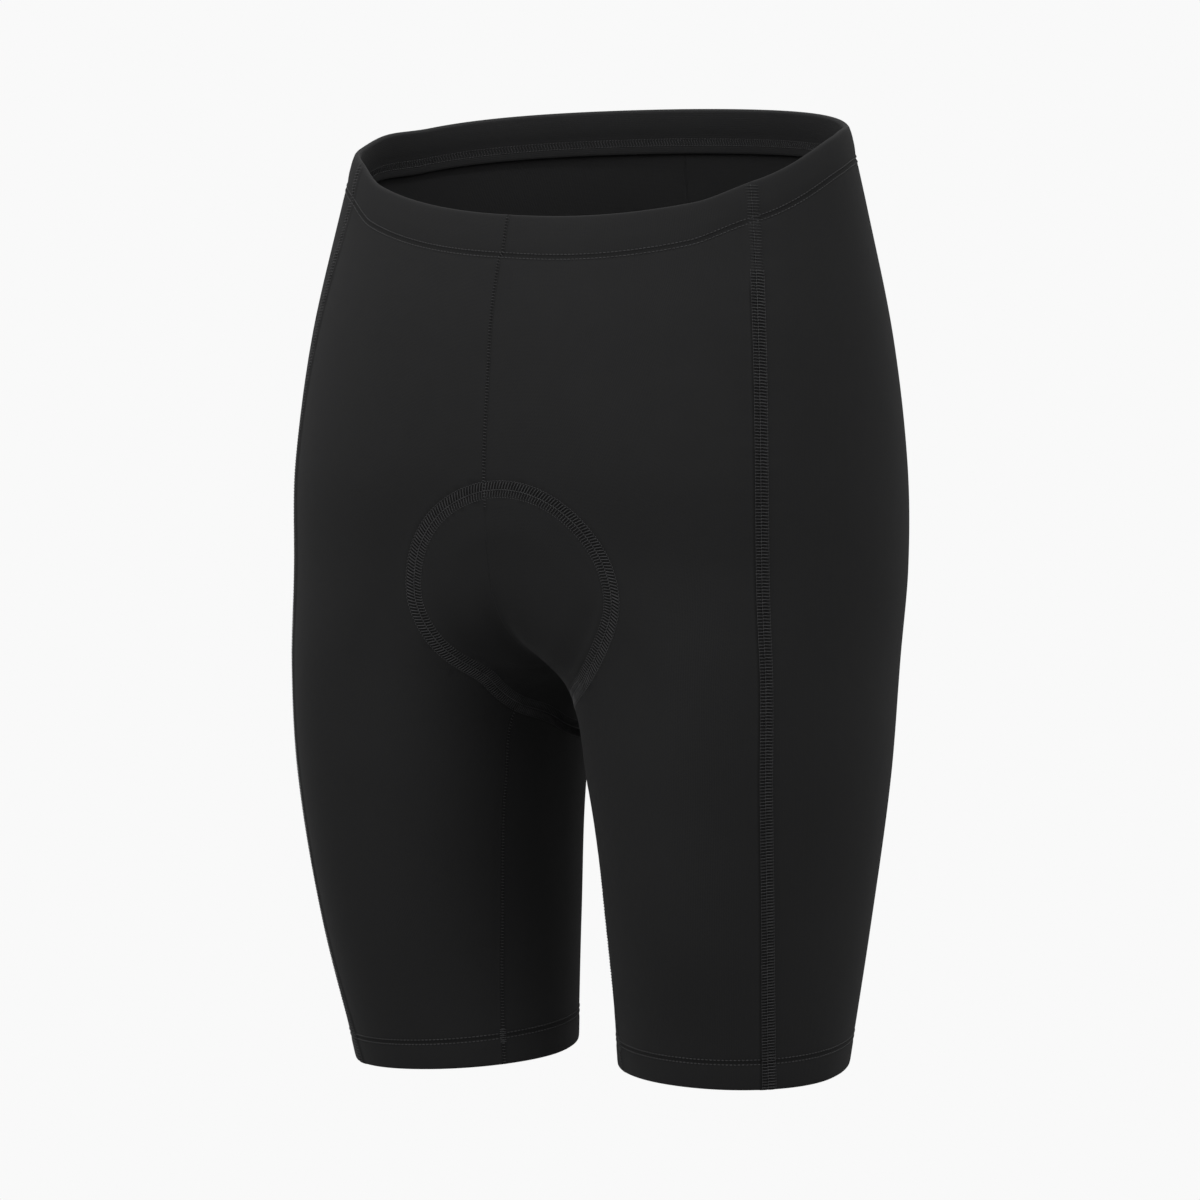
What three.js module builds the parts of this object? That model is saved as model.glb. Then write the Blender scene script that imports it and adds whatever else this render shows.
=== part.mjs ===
import * as THREE from "three";

// Cycling shorts in the shape that they keep on a general figure, in millimetres.
// +Z is up, the front faces -Y and the wearer's left is +X.
// The origin is the middle of the waist opening, where the wearer's waist holds the shorts up.

// Cloth and sewing
const KNIT = 1.2; // one layer of the panels' knit
const TURNED_HEM = 2.2; // the hem, turned in and stitched
const ELASTIC = 1.9; // the waist elastic in its casing
const SEAM_GAP = 0.3;
const BAND_HEIGHT = 16.5;
const BAND_DROP = 0.8; // the casing's top edge, under the rolled rim
const HEM_HEIGHT = 13;
const HEM_STEP = 0.8;

// The rim's height follows the depth y: low at the front, high at the back. As worn, the front
// rim also slants down towards the wearer's left, and the two sides are lifted a little.
const RIM_TILT = 0.31;
const RIM_BEND = 0.001;
const RIM_SLANT = { slope: -0.045, fullDepth: -50 };
const RIM_LIFT = { height: 3, fromSide: 85, toSide: 108, fullDepth: 10, lastDepth: 40 };

// The hem's height follows y and the distance from the leg's middle
const HEM_LEVEL = -436;
const HEM_TILT = 0.1;
const HEM_LEAN = -0.045;
const LEG_MIDDLE = 80;

// The crotch: the cloth rounds over between the legs with this web
const CROTCH = -245;
const WEB = 18;

// Half of the shorts at each height. The section is an oval from inner to outer across, and from
// front to back. Its inner front quarter is squarer than an ellipse by the power in square.
// Side is the angle of the side seam, and inseam that of the leg's inner seam, in degrees.
const COLUMNS = ["height", "inner", "outer", "front", "back", "middle", "square", "side", "inseam"];
const SECTIONS = [
  [30, -130, 120, -72, 88, 8, 2, 35.5, 152],
  [-30, -119, 134.5, -83, 98, 5, 2, 37, 152],
  [-90, -88, 145, -101, 111, 5, 2.4, 39, 152],
  [-150, -54, 149.5, -110, 119, 5, 3, 41, 152],
  [-200, -30, 150, -104, 115, 3, 3.6, 43.5, 152],
  [CROTCH, WEB, 147, -97, 98, -1, 3.4, 46.3, 151.5],
  [-300, 24.5, 145, -91, 85, -1, 2.6, 47.4, 150.5],
  [-370, 25.5, 136.5, -76, 74, 0, 2.1, 45.4, 147.5],
  [-440, 25, 127, -47, 62, 0, 2.1, 46.8, 138.5],
].map((row) => Object.fromEntries(COLUMNS.map((name, k) => [name, row[k]])));
const ROUND = 2; // the power of a plain ellipse
const OVERRUN = 0.5; // how far the table runs on past its ends, in rows
const INSEAM_TURN = 9; // how fast the inseam comes forward below the crotch

// The pad, sewn inside the crotch: its outline narrows between the legs
const PAD = {
  frontHeight: -160,
  length: 290,
  frontHalf: 52,
  neckHalf: 30,
  backHalf: 60,
  frontRound: 50,
  backRound: 55,
  neckFrom: 100,
  neckTo: 130,
  backFrom: 225,
  frontSway: 9,
  sway: 11,
  swayFrom: 55,
  swayEnd: 140,
  backTop: -90, // the centre line is worked out up to this height at the back
  gap: 1.25,
  edge: 2,
  middle: 7,
  dome: 3, // the power that rounds its thickness off
};

// How finely the solids are drawn
const BAND_ROWS = 3;
const TRUNK_ROWS = 13;
const LEG_ROWS = 13;
const HEM_ROWS = 2;
const FRONT_COLUMNS = 16;
const BACK_COLUMNS = 20;
const FINE_STEPS = 120;
const LINE_STEPS = 160;
const INNER_CROWD = 0.4; // 0 for even columns
const PAD_ROWS = 26;
const PAD_COLUMNS = 14;
const PAD_TRIM = 0.015; // how far its first and last rows are from its ends
const PAD_CROWD = 0.6; // 0 for even rows
const SIDE_ROW = -170; // where the row through the crotch meets the side seam
const LEG_EASE = 120;
const SETTLE = 9; // rounds for a height that depends on its own depth
const PROBE = 0.4;
const STRIDE = 2; // walking step across the cloth

const BLACK_KNIT = { color: 0x242426, roughness: 0.82, metalness: 0 };
const BLACK_ELASTIC = { color: 0x28282a, roughness: 0.78, metalness: 0 };
const BLACK_PAD = { color: 0x202022, roughness: 0.9, metalness: 0 };

const radians = THREE.MathUtils.degToRad;
const smooth = (t) => t * t * (3 - 2 * t);
const clamped = (t) => Math.min(Math.max(t, 0), 1);
const blend = (a, b, t) => a + (b - a) * t;
const ramp = (value, start, end) => smooth(clamped((value - start) / (end - start)));

// The table at any height, on a cubic through its rows
function sectionAt(z) {
  const last = SECTIONS.length - 1;
  let k = 0;
  while (k < last - 1 && z < SECTIONS[k + 1].height) k += 1;
  const before = SECTIONS[Math.max(k - 1, 0)];
  const above = SECTIONS[k];
  const below = SECTIONS[k + 1];
  const after = SECTIONS[Math.min(k + 2, last)];
  const span = below.height - above.height;
  const t = Math.min(Math.max((z - above.height) / span, -OVERRUN), 1 + OVERRUN);
  const section = {};
  for (const name of COLUMNS) {
    const startSlope = (below[name] - before[name]) / (below.height - before.height);
    const endSlope = (after[name] - above[name]) / (after.height - above.height);
    section[name] = (1 - smooth(t)) * above[name] + t * (1 - t) ** 2 * span * startSlope
      + smooth(t) * below[name] + t * t * (t - 1) * span * endSlope;
  }
  section.centre = (section.inner + section.outer) / 2;
  section.half = (section.outer - section.inner) / 2;
  section.square = Math.max(section.square, ROUND);
  return section;
}

// A point of the wearer's left half: 0 is the outer side, 90 degrees the front, 180 the inner side
function skin(z, angle) {
  const section = sectionAt(z);
  const across = Math.cos(angle);
  const along = Math.sin(angle);
  const power = section.square;
  const squared = across < 0 && along > 0;
  const reach = squared ? (Math.abs(across) ** power + along ** power) ** (-1 / power) : 1;
  const webbed = section.centre + section.half * reach * across;
  const depth = along > 0 ? section.middle - section.front : section.back - section.middle;
  const x = Math.sqrt(Math.max(webbed * webbed - WEB * WEB, 0));
  return [x, section.middle - depth * reach * along, z];
}

// 0 on the cloth, more outside it and less inside
function level([x, y, z]) {
  const section = sectionAt(z);
  const across = (Math.hypot(x, WEB) - section.centre) / section.half;
  const ahead = y < section.middle;
  const depth = ahead ? section.middle - section.front : section.back - section.middle;
  const along = Math.abs(y - section.middle) / depth;
  const power = across < 0 && ahead ? section.square : ROUND;
  return (Math.abs(across) ** power + along ** power) ** (1 / power) - 1;
}

function gradient(point) {
  return [0, 1, 2].map((axis) => {
    const ahead = [...point];
    const behind = [...point];
    ahead[axis] += PROBE;
    behind[axis] -= PROBE;
    return (level(ahead) - level(behind)) / (2 * PROBE);
  });
}

const plus = (a, b, amount = 1) => a.map((value, axis) => value + b[axis] * amount);
const dot = (a, b) => a[0] * b[0] + a[1] * b[1] + a[2] * b[2];
const cross = ([ax, ay, az], [bx, by, bz]) => [ay * bz - az * by, az * bx - ax * bz, ax * by - ay * bx];
const unit = (a) => a.map((value) => value / Math.hypot(...a));

function inset(point, distance) {
  return plus(point, unit(gradient(point)), -distance);
}

// The angles at which the front and the back of the section meet the centre line
function centreAngles(z) {
  const section = sectionAt(z);
  const across = Math.min(Math.max((section.centre - WEB) / section.half, -1), 1);
  const power = across > 0 ? section.square : ROUND;
  const front = Math.atan2((1 - Math.abs(across) ** power) ** (1 / power), -across);
  return { front, back: Math.atan2(Math.sqrt(1 - across * across), -across) };
}

function inseamAngle(z) {
  const drop = Math.max(CROTCH - z, 0);
  const angle = blend(sectionAt(z).inseam, 180, Math.exp(-drop / INSEAM_TURN));
  return radians(angle);
}

// Each panel runs from the side seam to the centre line, or below the crotch to the inseam
const FRONT = {
  columns: FRONT_COLUMNS,
  ease: 3,
  innerAngle: (z) => (z > CROTCH ? centreAngles(z).front : inseamAngle(z)),
};
const BACK = {
  columns: BACK_COLUMNS,
  ease: 2,
  innerAngle: (z) => (z > CROTCH ? -centreAngles(z).back : inseamAngle(z) - 2 * Math.PI),
};

// The point is one of the left half, and side is -1 where it stands for one of the right half
function rimHeight([x, y], side) {
  const slant = RIM_SLANT.slope * side * x * ramp(y, 0, RIM_SLANT.fullDepth);
  const toSide = ramp(x, RIM_LIFT.fromSide, RIM_LIFT.toSide);
  const lift = RIM_LIFT.height * toSide * (1 - ramp(y, RIM_LIFT.fullDepth, RIM_LIFT.lastDepth));
  return RIM_TILT * y - RIM_BEND * y * y + slant + lift;
}

const hemHeight = ([x, y]) => HEM_LEVEL + HEM_TILT * y + HEM_LEAN * (x - LEG_MIDDLE);

// The row through the crotch, at the place s across the panel: 0 is the side seam and 1 the
// centre line or inseam
const crotchRow = (s) => blend(SIDE_ROW, CROTCH, smooth(s));

// The share of the leg's length at which a row lies on the inseam: rows are closer near the crotch
function legShare(share) {
  const reach = CROTCH - HEM_LEVEL;
  const eased = (length) => Math.hypot(length, LEG_EASE) - LEG_EASE;
  return eased(share * reach) / eased(reach);
}

// Rows from the rim to the hem. Each gives its height from the place s and from the point itself
function panelRows(panel, side) {
  const rows = [];
  for (let k = 0; k <= BAND_ROWS; k += 1) {
    const drop = BAND_HEIGHT * k / BAND_ROWS;
    rows.push({ wall: KNIT, height: (s, point) => rimHeight(point, side) - drop });
  }
  for (let k = 1; k <= TRUNK_ROWS; k += 1) {
    const share = k / TRUNK_ROWS;
    const eased = 1 - (1 - share) ** panel.ease;
    const part = (s) => blend(share, eased, smooth(s));
    const start = (point) => rimHeight(point, side) - BAND_HEIGHT;
    const height = (s, point) => blend(start(point), crotchRow(s), part(s));
    rows.push({ wall: KNIT, height });
  }
  for (let k = 1; k <= LEG_ROWS; k += 1) {
    const share = k / LEG_ROWS;
    const eased = legShare(share);
    const part = (s) => blend(share, eased, smooth(s));
    const height = (s, point) => blend(crotchRow(s), hemHeight(point) + HEM_HEIGHT, part(s));
    rows.push({ wall: KNIT, height });
  }
  for (let k = 0; k <= HEM_ROWS; k += 1) {
    const rise = blend(HEM_HEIGHT - HEM_STEP, 0, k / HEM_ROWS);
    rows.push({ wall: TURNED_HEM, height: (s, point) => hemHeight(point) + rise });
  }
  return rows;
}

// The outer points of one row, closer together towards its inner end
function rowPoints(panel, row) {
  const fine = [];
  for (let k = 0; k <= FINE_STEPS; k += 1) {
    const s = k / FINE_STEPS;
    let point = skin(CROTCH, Math.PI / 2);
    for (let round = 0; round < SETTLE; round += 1) {
      const z = row.height(s, point);
      point = skin(z, blend(radians(sectionAt(z).side), panel.innerAngle(z), s));
    }
    fine.push(point);
  }
  const travelled = [0];
  for (let k = 1; k <= FINE_STEPS; k += 1) {
    travelled.push(travelled[k - 1] + Math.hypot(...plus(fine[k], fine[k - 1], -1)));
  }
  const points = [fine[0]];
  let k = 1;
  for (let column = 1; column < panel.columns; column += 1) {
    const share = column / panel.columns;
    const target = travelled[FINE_STEPS] * (share + INNER_CROWD * share * (1 - share));
    while (travelled[k] < target) k += 1;
    const part = (target - travelled[k - 1]) / (travelled[k] - travelled[k - 1]);
    points.push(fine[k - 1].map((value, axis) => blend(value, fine[k][axis], part)));
  }
  points.push(fine[FINE_STEPS]);
  return points;
}

// Draws the two ends of a row in from the seams there, by half of the gap
function trimmed(points) {
  const last = points.length - 1;
  const trimmedEnd = (end, next) => plus(end, unit(plus(next, end, -1)), SEAM_GAP / 2);
  return points.map((point, k) => {
    if (k === 0) return trimmedEnd(point, points[1]);
    return k === last ? trimmedEnd(point, points[last - 1]) : point;
  });
}

// A closed solid between two grids of points, as a sheet or as a ring. Each cell of a grid is cut
// along its shorter diagonal, the same in both grids.
function slab(outer, inner, ring = false) {
  const columns = outer[0].length;
  const under = outer.length * columns;
  const points = [...outer.flat(), ...inner.flat()];
  const faces = [];
  const at = (row, column) => row * columns + (column % columns);
  const apart = (a, b) => Math.hypot(...plus(points[a], points[b], -1));
  const quad = (a, b, c, d) => faces.push(a, b, c, a, c, d);
  const spans = ring ? columns : columns - 1;
  const bottom = outer.length - 1;
  for (let row = 0; row < bottom; row += 1) {
    for (let column = 0; column < spans; column += 1) {
      const next = column + 1;
      const cell = [at(row, column), at(row + 1, column), at(row + 1, next), at(row, next)];
      if (apart(cell[1], cell[3]) < apart(cell[0], cell[2])) cell.push(cell.shift());
      const [a, b, c, d] = cell;
      quad(a, b, c, d);
      quad(under + a, under + d, under + c, under + b);
    }
    if (!ring) {
      const [a, b] = [at(row, 0), at(row + 1, 0)];
      const [c, d] = [at(row, spans), at(row + 1, spans)];
      quad(a, under + a, under + b, b);
      quad(c, d, under + d, under + c);
    }
  }
  for (let column = 0; column < spans; column += 1) {
    const [a, b] = [at(0, column), at(0, column + 1)];
    const [c, d] = [at(bottom, column), at(bottom, column + 1)];
    quad(a, b, under + b, under + a);
    quad(c, under + c, under + d, d);
  }
  return solid(points, faces);
}

// Turns the faces outward and makes the geometry
function solid(points, faces) {
  let volume = 0;
  for (let k = 0; k < faces.length; k += 3) {
    volume += dot(points[faces[k]], cross(points[faces[k + 1]], points[faces[k + 2]]));
  }
  if (volume < 0) faces.reverse();
  const geometry = new THREE.BufferGeometry();
  geometry.setAttribute("position", new THREE.Float32BufferAttribute(points.flat(), 3));
  geometry.setIndex(faces);
  geometry.computeVertexNormals();
  return geometry;
}

// Keeps a grid off the centre line by half of the gap, and turns it to its side
function placed(grid, side) {
  return grid.map((row) => row.map(([x, y, z]) => [side * Math.max(x, SEAM_GAP / 2), y, z]));
}

// One leg's front or back, from the rim to the turned hem
function panelSolid(panel, side) {
  const rows = panelRows(panel, side);
  const outer = rows.map((row) => trimmed(rowPoints(panel, row)));
  const inner = outer.map((points, k) => points.map((point) => inset(point, rows[k].wall)));
  return slab(placed(outer, side), placed(inner, side));
}

// The elastic in its casing, inside the top of the four panels
function waistbandSolid() {
  const loops = [];
  for (let k = 0; k <= BAND_ROWS; k += 1) {
    const drop = Math.max(BAND_HEIGHT * k / BAND_ROWS, BAND_DROP);
    const [left, right] = [1, -1].map((side) => {
      const row = { height: (s, point) => rimHeight(point, side) - drop };
      return [...rowPoints(FRONT, row).reverse(), ...rowPoints(BACK, row).slice(1)];
    });
    loops.push([...left, ...right.slice(1, -1).reverse().map(([x, y, z]) => [-x, y, z])]);
  }
  const insetLoops = (distance) => loops.map((loop) => loop.map((point) => inset(point, distance)));
  return slab(insetLoops(KNIT + SEAM_GAP), insetLoops(KNIT + SEAM_GAP + ELASTIC), true);
}

// The centre line from the pad's front end, down, under the crotch and up the back
function centreLine() {
  const line = [];
  for (let k = 0; k <= LINE_STEPS; k += 1) {
    const z = blend(CROTCH, PAD.frontHeight, (1 - k / LINE_STEPS) ** FRONT.ease);
    line.push(skin(z, centreAngles(z).front));
  }
  for (let k = 1; k <= LINE_STEPS; k += 1) {
    const z = blend(CROTCH, PAD.backTop, (k / LINE_STEPS) ** BACK.ease);
    line.push(skin(z, -centreAngles(z).back));
  }
  const curve = new THREE.CurvePath();
  const corners = line.map(([, y, z]) => new THREE.Vector3(0, y, z));
  corners.slice(1).forEach((corner, k) => curve.add(new THREE.LineCurve3(corners[k], corner)));
  return curve;
}

// Walks on the cloth from a point of the centre line, in the plane square to that line
function walkAcross(start, direction, distance) {
  let point = start;
  let heading = [1, 0, 0];
  const steps = Math.max(Math.ceil(distance / STRIDE), 1);
  const tangentAt = (place) => {
    const tangent = unit(cross(direction, gradient(place)));
    return dot(tangent, heading) < 0 ? tangent.map((value) => -value) : tangent;
  };
  for (let k = 0; k < steps; k += 1) {
    const first = tangentAt(point);
    heading = tangentAt(plus(point, first, distance / steps / 2));
    point = plus(point, heading, distance / steps);
    const slope = gradient(point);
    const square = plus(slope, direction, -dot(slope, direction));
    point = plus(point, square, -level(point) / dot(square, square));
  }
  return point;
}

function padHalfWidth(along) {
  const toNeck = ramp(along, PAD.frontRound, PAD.neckFrom);
  const toBack = ramp(along, PAD.neckTo, PAD.backFrom);
  const body = blend(blend(PAD.frontHalf, PAD.neckHalf, toNeck), PAD.backHalf, toBack);
  const frontEnd = clamped(1 - along / PAD.frontRound);
  const backEnd = clamped(1 - (PAD.length - along) / PAD.backRound);
  return body * Math.sqrt((1 - frontEnd ** 2) * (1 - backEnd ** 2));
}

// The pad's outer face lies just inside the panels, and it is thickest along its middle
function padSolid() {
  const curve = centreLine();
  const whole = curve.getLength();
  const places = Array.from({ length: PAD_COLUMNS + 1 }, (_, k) => blend(-1, 1, k / PAD_COLUMNS));
  const depths = places.map((place) => blend(PAD.middle, PAD.edge, Math.abs(place) ** PAD.dome));
  const outer = [];
  const inner = [];
  for (let row = 0; row <= PAD_ROWS; row += 1) {
    const turn = blend(PAD_TRIM, 1 - PAD_TRIM, row / PAD_ROWS);
    const along = PAD.length * blend(turn, (1 - Math.cos(Math.PI * turn)) / 2, PAD_CROWD);
    const start = curve.getPointAt(along / whole).toArray();
    const direction = curve.getTangentAt(along / whole).toArray();
    const half = padHalfWidth(along);
    const sway = blend(PAD.frontSway, PAD.sway, ramp(along, 0, PAD.frontRound))
      * (1 - ramp(along, PAD.swayFrom, PAD.swayEnd));
    const points = places.map((place) => {
      const distance = sway + place * half;
      const [x, y, z] = walkAcross(start, direction, Math.abs(distance));
      return [x * Math.sign(distance), y, z];
    });
    outer.push(points.map((point) => inset(point, KNIT + PAD.gap)));
    inner.push(points.map((point, k) => inset(point, KNIT + PAD.gap + depths[k])));
  }
  return slab(outer, inner);
}

function named(name, geometry, finish) {
  const mesh = new THREE.Mesh(geometry, new THREE.MeshStandardMaterial(finish));
  mesh.name = name;
  return mesh;
}

const shorts = new THREE.Group();
shorts.name = "cycling_shorts";
for (const [hand, side] of [["left", 1], ["right", -1]]) {
  shorts.add(named(`front_${hand}`, panelSolid(FRONT, side), BLACK_KNIT));
  shorts.add(named(`back_${hand}`, panelSolid(BACK, side), BLACK_KNIT));
}
shorts.add(named("waistband", waistbandSolid(), BLACK_ELASTIC));
shorts.add(named("crotch_pad", padSolid(), BLACK_PAD));

export default shorts;
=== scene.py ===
"""The looks of a pair of padded cycling shorts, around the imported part. Shapes are in millimetres."""

import math

import bpy
import numpy as np
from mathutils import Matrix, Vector
from mathutils.kdtree import KDTree


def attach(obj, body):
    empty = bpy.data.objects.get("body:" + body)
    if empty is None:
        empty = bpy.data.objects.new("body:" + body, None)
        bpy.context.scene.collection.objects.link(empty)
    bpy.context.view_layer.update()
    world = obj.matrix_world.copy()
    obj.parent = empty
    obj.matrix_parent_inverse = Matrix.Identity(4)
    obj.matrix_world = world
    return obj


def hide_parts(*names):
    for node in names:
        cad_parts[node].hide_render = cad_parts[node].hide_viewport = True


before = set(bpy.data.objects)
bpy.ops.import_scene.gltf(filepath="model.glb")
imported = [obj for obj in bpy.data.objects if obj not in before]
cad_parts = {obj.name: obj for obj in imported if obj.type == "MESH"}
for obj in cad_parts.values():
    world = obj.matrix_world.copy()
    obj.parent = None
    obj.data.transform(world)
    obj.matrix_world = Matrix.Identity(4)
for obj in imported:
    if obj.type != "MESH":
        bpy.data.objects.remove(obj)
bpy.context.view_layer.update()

MM = 0.001

# Cloth and sewing
KNIT = 1.2  # one layer of the panels' knit
TURNED_HEM = 2.2  # the hem, turned in and stitched
CASING_GAP = 0.05  # between a panel and the casing inside it
CASING = 2.0  # the waist elastic in its casing
RIM_WALL = 0.1  # a panel's wall where it is drawn thin over the rim
RIM_ZONE = 3
BAND_STITCHES = 16.2  # the coverstitch, under the rim
SUNK_LOOPERS = 0.25  # how deep the loopers lie in the casing
BAND_INSIDE = 22  # the casing's cut edge inside, below the stitching
HEM_HEIGHT = 14.5
PUFF = 2.1  # how far the pad rounds the cloth out
THREAD = 0.27  # the radius of a thread, fluffed up
COVER_THREAD = 0.27
FLAT_THREAD = 0.21
FINE_THREAD = 0.17
TWIN_NEEDLES = 2.4  # between the two rows of a coverstitch
COVER_PITCH = 1.9
LADDER_PITCH = 1.48
SIDE_RAISED = 3.7  # width of a flatlock's raised ladder
SIDE_FLAT = 2.7
SIDE_START = 42  # the side seam's full ladder begins this far under the rim, with tighter stitches above
SEAM_START = 1.2
RING_RAISED = 4.2
RING_FLAT = 3.6
RING_MIDDLE = (RING_FLAT - RING_RAISED) / 2
RING_HALF = (RING_FLAT + RING_RAISED) / 2
CENTRE_IN_RING = 9  # how far the centre front seam's stitches show inside the ring
RING_CROSSING = 2
LADDER_SHADE = 0.5  # painted shade: how much darker the cloth is painted between the ladders' threads, for the threads' shade
# painted shade: how much darker the cloth is painted along the coverstitches at the waist and the hems
STITCH_SHADE = 0.4
PAD_PAINTED_SHADE = 0.12  # painted shade: how much darker the cloth is painted inside the pad's outline
INSIDE_TONE = 1.25  # the knit's inner face is a little paler than its outer face
NARROW_LADDER = 0.9  # half the width of the centre seams' and inseams' stitches
SIDE_RIDGE = 0.3  # how far a seam stands off the cloth
NARROW_RIDGE = 0.18
SEAM_TRIM = 1  # how far the sewing stops before a hem
LOOPER_HALF = 1.6
LOOPER_PITCH = 1.52
LOOPERS_LOWER = 2
HEM_DRAWN_IN = -0.24  # the cloth under the hem's stitching
TACK = 7  # the length of the tack where an inseam crosses the hem's stitching
TACK_HALF = 1.7

# The form, as in the part
RIM_TILT = 0.31
RIM_BEND = 0.001
RIM_SLANT = {"slope": -0.045, "full_depth": -50}
RIM_LIFT = {"height": 3, "from_side": 85, "to_side": 108, "full_depth": 10, "last_depth": 40}
HEM_LEVEL = -436
HEM_TILT = 0.1
HEM_LEAN = -0.045
LEG_MIDDLE = 80
CROTCH = -245
WEB = 18
COLUMNS = ("height", "inner", "outer", "front", "back", "middle", "square", "side", "inseam")
SECTIONS = np.array([
    (30, -130, 120, -72, 88, 8, 2, 35.5, 152),
    (-30, -119, 134.5, -83, 98, 5, 2, 37, 152),
    (-90, -88, 145, -101, 111, 5, 2.4, 39, 152),
    (-150, -54, 149.5, -110, 119, 5, 3, 41, 152),
    (-200, -30, 150, -104, 115, 3, 3.6, 43.5, 152),
    (CROTCH, WEB, 147, -97, 98, -1, 3.4, 46.3, 151.5),
    (-300, 24.5, 145, -91, 85, -1, 2.6, 47.4, 150.5),
    (-370, 25.5, 136.5, -76, 74, 0, 2.1, 45.4, 147.5),
    (-440, 25, 127, -47, 62, 0, 2.1, 46.8, 138.5),
])
INSEAM_TURN = 9
SIDE_ROW = -170  # where the row through the crotch meets the side seam
LEG_EASE = 120
PAD = {
    "front_height": -160,
    "length": 290,
    "front_half": 52,
    "neck_half": 30,
    "back_half": 60,
    "front_round": 50,
    "back_round": 55,
    "neck_from": 100,
    "neck_to": 130,
    "back_from": 225,
    "front_sway": 9,
    "sway": 11,
    "sway_from": 55,
    "sway_end": 140,
    "edge": 2,
    "middle": 7,
}

# How finely the cloth is drawn
TOP_ZONE = 26
TOP_DROPS = np.array([0.06, 0.3, 0.7, 1.3, 2.2, 3.6, 5.4, 7.4, 9.4, 11.4,
                      13, 14.2, 15, 15.8, 16.6, 17.4, 18.4, 20, 22, 24])
TRUNK_ROWS = 92
LEG_ROWS = 80
HEM_RISES = np.array([21, 19, 17.6, 16.6, 15.8, 15.1, 14.4, 13.7, 13,
                      12, 10, 7.5, 5, 3, 1.7, 0.9, 0.38, 0.08])
BAND_DROPS = np.array([0.02, 0.12, 0.35, 0.7, 1.2, 1.7, 2.6, 4, 6, 8, 10, 11.6, 12.8, 13.6, 14.4,
                       15.4, 16.6, 18, 19.6, 20.8, 21.4, 21.8, BAND_INSIDE])
BAND_COLUMNS = 300
PAD_GRID = (130, 61)
PAD_TRIM = 0.012
PAD_DEPTH = 1.25  # from the panels' inner face to the pad
SEAM_STEPS = np.array([0, 0.35, 0.8, 1.4, 2.2, 2.9, 3.5, 4.4, 6])
ROW_SAMPLES = 260
SEAM_LAP = 0.1  # the panels' edges lap by a hair at the inseams and the centre seams, so no crack shows
OUTLINE_STEP = 0.8
OUTLINE_APART = -215  # under this height the outline's two sides are kept apart
SETTLE = 9
PROBE = 0.4
CROTCH_ZONE = 12  # the rows crowd together here, so the normals are worked out and not left to the faces


def smooth(t):
    return t * t * (3 - 2 * t)


def ramp(value, start, end):
    """0 before start, 1 after end and smooth between."""
    return smooth(np.clip((value - start) / (end - start), 0, 1))


def blend(a, b, t):
    return a + (b - a) * t


def hill(value, middle, width):
    return np.exp(-(((value - middle) / width) ** 2))


def unit(vectors):
    return vectors / np.maximum(np.linalg.norm(vectors, axis=-1, keepdims=True), 1e-9)


def dot(a, b):
    return (a * b).sum(-1)


def section_at(z):
    """The table at any height, on a cubic through its rows."""
    z = np.asarray(z, float)
    heights = SECTIONS[:, 0]
    slopes = np.gradient(SECTIONS, axis=0)
    slopes[1:-1] = (SECTIONS[2:] - SECTIONS[:-2]) / (heights[2:] - heights[:-2])[:, None]
    slopes[0] = (SECTIONS[1] - SECTIONS[0]) / (heights[1] - heights[0])
    slopes[-1] = (SECTIONS[-1] - SECTIONS[-2]) / (heights[-1] - heights[-2])
    k = np.clip(np.searchsorted(-heights, -z, side="right") - 1, 0, len(heights) - 2)
    span = (heights[k + 1] - heights[k])[..., None]
    t = np.clip((z[..., None] - heights[k][..., None]) / span, -0.5, 1.5)
    values = ((1 + 2 * t) * (1 - t) ** 2 * SECTIONS[k] + t * (1 - t) ** 2 * span * slopes[k]
              + t * t * (3 - 2 * t) * SECTIONS[k + 1] + t * t * (t - 1) * span * slopes[k + 1])
    section = {name: values[..., place] for place, name in enumerate(COLUMNS)}
    section["centre"] = (section["inner"] + section["outer"]) / 2
    section["half"] = (section["outer"] - section["inner"]) / 2
    section["square"] = np.maximum(section["square"], 2)
    return section


def skin(z, angle):
    """A point of the left half: 0 is the outer side, 90 degrees the front, 180 the inner side."""
    section = section_at(z)
    across, along, power = np.cos(angle), np.sin(angle), section["square"]
    squared = (across < 0) & (along > 0)
    reach = np.where(squared, (np.abs(across) ** power + np.abs(along) ** power) ** (-1 / power), 1)
    webbed = section["centre"] + section["half"] * reach * across
    depth = np.where(along > 0, section["middle"] - section["front"], section["back"] - section["middle"])
    x = np.sqrt(np.maximum(webbed ** 2 - WEB ** 2, 0))
    return np.stack([x, section["middle"] - depth * reach * along, np.broadcast_to(z, x.shape)], -1)


def level(points):
    """0 on the cloth, more outside it and less inside."""
    x, y, z = points[..., 0], points[..., 1], points[..., 2]
    section = section_at(z)
    across = (np.hypot(x, WEB) - section["centre"]) / section["half"]
    ahead = y < section["middle"]
    depth = np.where(ahead, section["middle"] - section["front"], section["back"] - section["middle"])
    along = np.abs(y - section["middle"]) / depth
    power = np.where((across < 0) & ahead, section["square"], 2)
    return (np.abs(across) ** power + along ** power) ** (1 / power) - 1


def gradient(points):
    parts = []
    for axis in range(3):
        step = np.zeros(3)
        step[axis] = PROBE
        parts.append((level(points + step) - level(points - step)) / (2 * PROBE))
    return np.stack(parts, -1)


def seated(points):
    """The points, moved on to the cloth, and the outward directions there."""
    for _ in range(2):
        slope = gradient(points)
        points = points - slope * (level(points) / dot(slope, slope))[..., None]
    return points, unit(gradient(points))


def centre_angles(z):
    section = section_at(z)
    across = np.clip((section["centre"] - WEB) / section["half"], -1, 1)
    power = np.where(across > 0, section["square"], 2)
    front = np.arctan2(np.maximum(1 - np.abs(across) ** power, 0) ** (1 / power), -across)
    return front, np.arctan2(np.sqrt(1 - across ** 2), -across)


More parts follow.
